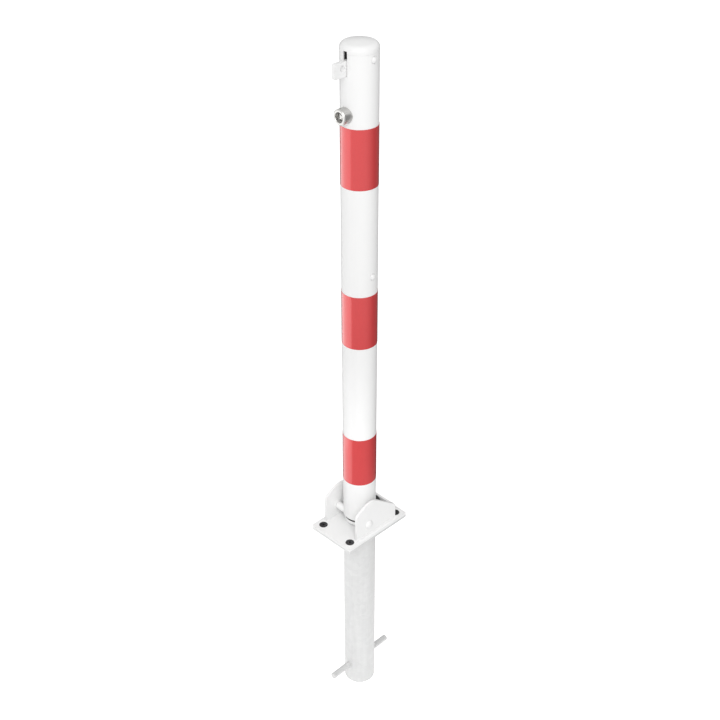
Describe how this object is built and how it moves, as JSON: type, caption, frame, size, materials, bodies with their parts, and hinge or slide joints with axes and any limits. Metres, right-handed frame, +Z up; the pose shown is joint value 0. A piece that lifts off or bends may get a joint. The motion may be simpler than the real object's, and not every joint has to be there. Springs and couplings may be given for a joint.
{
  "type": "fold-down bollard",
  "caption": "Round steel parking post with red bands that a triangular key frees and a lifted tab unlatches, so that it folds down between two cheeks on a plate over a concreted tube.",
  "frame": {"origin": "on the post's axis at ground level, which is the underside of the ground tube's flange", "axes": "+Z up along the post, +X along the hinge pin, -Y the side that the lock and tab face and towards which the post folds"},
  "size_m": [0.1062, 0.15, 1.323],
  "materials": {
    "white_coat": "glossy white powder coat over steel",
    "galvanised": "dull pale galvanised steel",
    "zinc_plate": "bright zinc-plated steel",
    "black_oxide": "black oxide steel screws",
    "black_rubber": "matt black rubber",
    "black_plastic": "matt black moulded plastic",
    "red_sheeting": "red retroreflective sheeting",
    "nickel": "nickel-plated lock"
  },
  "bodies": {
    "ground": {"ground_tube": "galvanised", "anchor_bar": "galvanised", "ground_flange": "galvanised", "weld_nuts": "galvanised", "hinge_plate": "white_coat", "cheek_left": "white_coat", "cheek_right": "white_coat", "rear_web": "white_coat", "flange_screws": "black_oxide", "hinge_pin": "white_coat", "hinge_nut": "white_coat", "rubber_stop": "black_rubber", "stop_nut": "zinc_plate"},
    "post": {"post_tube": "white_coat", "post_foot": "white_coat", "hinge_sleeve": "white_coat", "band_lower": "red_sheeting", "band_middle": "red_sheeting", "band_upper": "red_sheeting", "end_cap": "white_coat", "cap_screw": "white_coat", "rod_guide": "black_plastic", "guide_screw": "white_coat", "lock_barrel": "nickel"},
    "lift_rod": {"lift_rod": "zinc_plate", "lift_tab": "white_coat", "rod_catch": "zinc_plate"},
    "key_spindle": {"key_spindle": "nickel", "lock_cam": "zinc_plate", "cam_nut": "zinc_plate"}
  },
  "joints": [
    {"name": "post_fold", "type": "hinge", "parent": "ground", "child": "post", "pos_m": [0, -0.018, 0.032], "axis": [1, 0, 0], "range_deg": [0, 89]},
    {"name": "rod_lift", "type": "slide", "parent": "post", "child": "lift_rod", "axis": [0, 0, 1], "range_m": [0, 0.0089]},
    {"name": "spindle_turn", "type": "hinge", "parent": "post", "child": "key_spindle", "pos_m": [0, -0.0397, 0.814], "axis": [0, 1, 0], "range_deg": [0, 90]}
  ]
}
